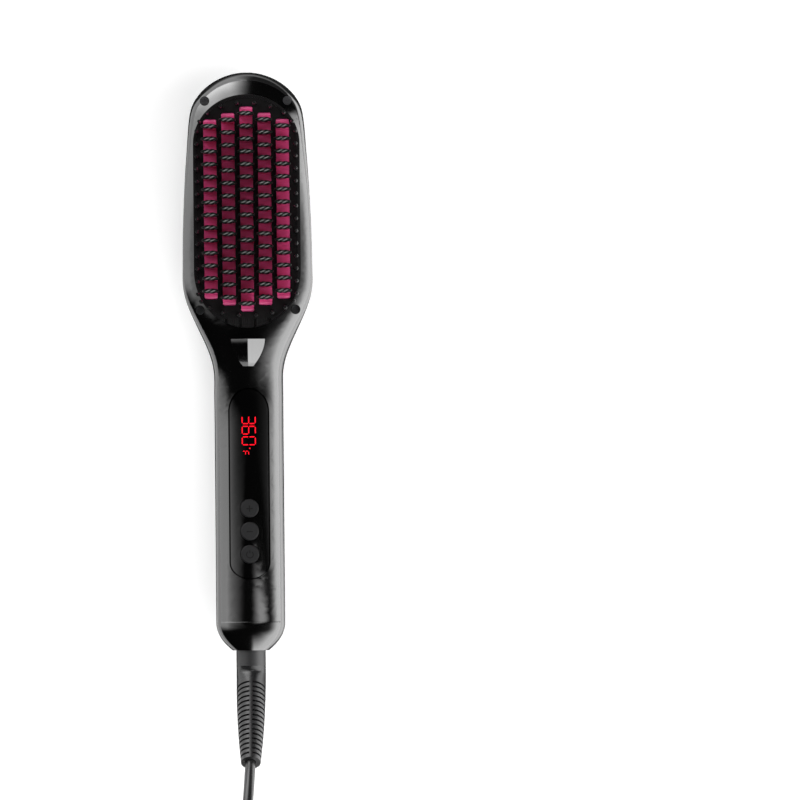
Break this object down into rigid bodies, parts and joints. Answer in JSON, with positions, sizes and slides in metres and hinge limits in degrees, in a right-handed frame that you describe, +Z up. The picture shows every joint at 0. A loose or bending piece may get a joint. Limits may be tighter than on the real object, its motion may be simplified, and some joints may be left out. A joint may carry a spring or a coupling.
{
  "type": "steam hair straightener brush",
  "caption": "Heated hair brush with a comb of capped blades, a steam nozzle and water tank in its head, press keys and a display on the handle, and a swivelling mains cord.",
  "frame": {"origin": "on the table under the middle of the brush, from the head's tip to the end of the cord's sleeve", "axes": "+X across the brush, +Y towards the head's tip, +Z up, the way the bristles point, with the brush lying on its back"},
  "size_m": [0.0972, 0.5255, 0.086],
  "materials": {
    "gloss_black": "high gloss",
    "lens_black": "high gloss",
    "satin_black": "satin",
    "tank_black": "satin",
    "comb_black": "satin",
    "comb_pink": "satin coating",
    "key_black": "matte",
    "screw_steel": "bright",
    "relief_rubber": "matte",
    "cord_black": "satin",
    "plug_black": "satin",
    "blade_brass": "nickel plated",
    "inner_white": "natural",
    "seal_grey": "natural silicone",
    "heater_white": "ceramic",
    "chamber_aluminium": "as cast",
    "sensor_brown": "glass bead",
    "display_red": "black with red segments",
    "switch_black": "moulded",
    "board_green": "solder mask",
    "lead_brown": "insulated"
  },
  "bodies": {
    "brush": {"front_housing": "gloss_black", "rear_housing": "satin_black", "end_cap": "gloss_black", "handle_back_cover": "satin_black", "comb_frame": "comb_black", "edge_pins": "comb_black", "heater_comb": "comb_pink", "bristle_caps": "comb_black", "head_screws": "screw_steel", "steam_nozzle": "gloss_black", "control_lens": "lens_black", "heating_element": "heater_white", "heater_clamp": "screw_steel", "insulator": "inner_white", "thermal_fuse": "chamber_aluminium", "thermistor": "sensor_brown", "display_module": "display_red", "key_switches": "switch_black", "main_board": "board_green", "board_screws": "screw_steel", "pump": "inner_white", "steam_chamber": "chamber_aluminium", "steam_tube": "seal_grey", "feed_tube": "seal_grey", "pressure_tube": "seal_grey", "water_inlet": "inner_white", "swivel_socket": "inner_white", "mains_leads": "lead_brown", "latch_spring": "screw_steel"},
    "tank": {"water_tank": "tank_black", "tank_lid": "inner_white", "tank_plug": "seal_grey", "tank_valve": "seal_grey"},
    "latch": {"tank_latch": "satin_black"},
    "plus_key": {"button_plus": "key_black"},
    "minus_key": {"button_minus": "key_black"},
    "power_key": {"button_power": "key_black"},
    "cord_swivel": {"swivel_sleeve": "satin_black", "strain_relief": "relief_rubber", "cord": "cord_black", "cord_coil": "cord_black", "plug_body": "plug_black", "plug_blades": "blade_brass"}
  },
  "joints": [
    {"name": "plus_press", "type": "slide", "parent": "brush", "child": "plus_key", "axis": [0, -0.0663, -0.9978], "range_m": [0, 0.0008], "stiffness_N_per_m": 1200, "springref_m": -0.0006},
    {"name": "minus_press", "type": "slide", "parent": "brush", "child": "minus_key", "axis": [0, -0.0663, -0.9978], "range_m": [0, 0.0008], "stiffness_N_per_m": 1200, "springref_m": -0.0006},
    {"name": "power_press", "type": "slide", "parent": "brush", "child": "power_key", "axis": [0, -0.0663, -0.9978], "range_m": [0, 0.0008], "stiffness_N_per_m": 1200, "springref_m": -0.0006},
    {"name": "latch_slide", "type": "slide", "parent": "brush", "child": "latch", "axis": [0, -1, 0], "range_m": [0, 0.003], "stiffness_N_per_m": 400, "springref_m": -0.003, "deforming": ["latch_spring"]},
    {"name": "tank_release", "type": "slide", "parent": "brush", "child": "tank", "axis": [0, 0, -1], "range_m": [0, 0.03]},
    {"name": "cord_turn", "type": "hinge", "parent": "brush", "child": "cord_swivel", "pos_m": [0, -0.14109, 0.0219], "axis": [0, 1, 0], "continuous": true}
  ]
}
